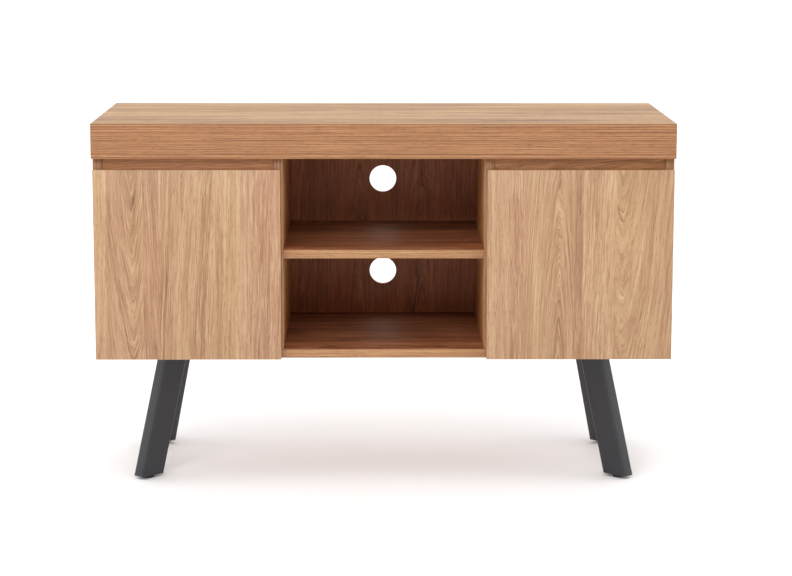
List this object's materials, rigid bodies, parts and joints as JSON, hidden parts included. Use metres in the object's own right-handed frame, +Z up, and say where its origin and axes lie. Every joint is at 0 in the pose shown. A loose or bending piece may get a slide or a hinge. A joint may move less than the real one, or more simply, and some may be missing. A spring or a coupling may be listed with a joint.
{
  "type": "tv stand",
  "caption": "Low oak-veneer stand with an open shelved bay between two door cabinets, a thick top and splayed black steel legs with levelling feet.",
  "frame": {"origin": "on the floor under the middle of the top", "axes": "+Z up, +X to the right of someone who faces the doors, -Y out of the front"},
  "size_m": [1, 0.42, 0.635],
  "materials": {
    "oak": "oak veneer, matt lacquer",
    "softwood": "sawn softwood, bare",
    "black_steel": "matt black powder coat",
    "nickel": "nickel plate, satin",
    "black_plastic": "moulded, fine texture",
    "clear_rubber": "translucent soft polyurethane"
  },
  "bodies": {
    "carcass": {"top_panel": "oak", "apron_front": "oak", "apron_right": "oak", "apron_rear": "oak", "apron_left": "oak", "underboard": "oak", "core_batten_left": "softwood", "core_batten_right": "softwood", "side_panel_left": "oak", "side_panel_right": "oak", "divider_left": "oak", "divider_right": "oak", "bottom_panel": "oak", "bay_shelf": "oak", "back_panel": "oak", "rail_left": "oak", "rail_right": "oak", "cabinet_shelf_left": "oak", "cabinet_shelf_right": "oak", "shelf_pin_outer_front_left": "nickel", "shelf_pin_outer_front_right": "nickel", "shelf_pin_inner_front_left": "nickel", "shelf_pin_inner_front_right": "nickel", "shelf_pin_outer_rear_left": "nickel", "shelf_pin_outer_rear_right": "nickel", "shelf_pin_inner_rear_left": "nickel", "shelf_pin_inner_rear_right": "nickel", "hinge_plate_lower_left": "nickel", "hinge_plate_lower_right": "nickel", "hinge_arm_lower_left": "nickel", "hinge_arm_lower_right": "nickel", "hinge_plate_upper_left": "nickel", "hinge_plate_upper_right": "nickel", "hinge_arm_upper_left": "nickel", "hinge_arm_upper_right": "nickel", "leg_front_left": "black_steel", "foot_plug_front_left": "black_plastic", "leg_front_right": "black_steel", "foot_plug_front_right": "black_plastic", "leg_rear_left": "black_steel", "foot_plug_rear_left": "black_plastic", "leg_rear_right": "black_steel", "foot_plug_rear_right": "black_plastic"},
    "left_door": {"door_left": "oak", "bumper_lower_left": "clear_rubber", "bumper_upper_left": "clear_rubber", "hinge_cup_lower_left": "nickel", "hinge_cup_upper_left": "nickel"},
    "right_door": {"door_right": "oak", "bumper_lower_right": "clear_rubber", "bumper_upper_right": "clear_rubber", "hinge_cup_lower_right": "nickel", "hinge_cup_upper_right": "nickel"},
    "foot_front_left": {"leveller_front_left": "black_plastic"},
    "foot_front_right": {"leveller_front_right": "black_plastic"},
    "foot_rear_left": {"leveller_rear_left": "black_plastic"},
    "foot_rear_right": {"leveller_rear_right": "black_plastic"}
  },
  "joints": [
    {"name": "left_door_hinge", "type": "hinge", "parent": "carcass", "child": "left_door", "pos_m": [-0.497, -0.205, 0.39], "axis": [0, 0, -1], "range_deg": [0, 105]},
    {"name": "right_door_hinge", "type": "hinge", "parent": "carcass", "child": "right_door", "pos_m": [0.497, -0.205, 0.39], "axis": [0, 0, 1], "range_deg": [0, 105]},
    {"name": "leveller_front_left_screw", "type": "slide", "parent": "carcass", "child": "foot_front_left", "axis": [0, 0, -1], "range_m": [0, 0.008]},
    {"name": "leveller_front_right_screw", "type": "slide", "parent": "carcass", "child": "foot_front_right", "axis": [0, 0, -1], "range_m": [0, 0.008]},
    {"name": "leveller_rear_left_screw", "type": "slide", "parent": "carcass", "child": "foot_rear_left", "axis": [0, 0, -1], "range_m": [0, 0.008]},
    {"name": "leveller_rear_right_screw", "type": "slide", "parent": "carcass", "child": "foot_rear_right", "axis": [0, 0, -1], "range_m": [0, 0.008]}
  ]
}
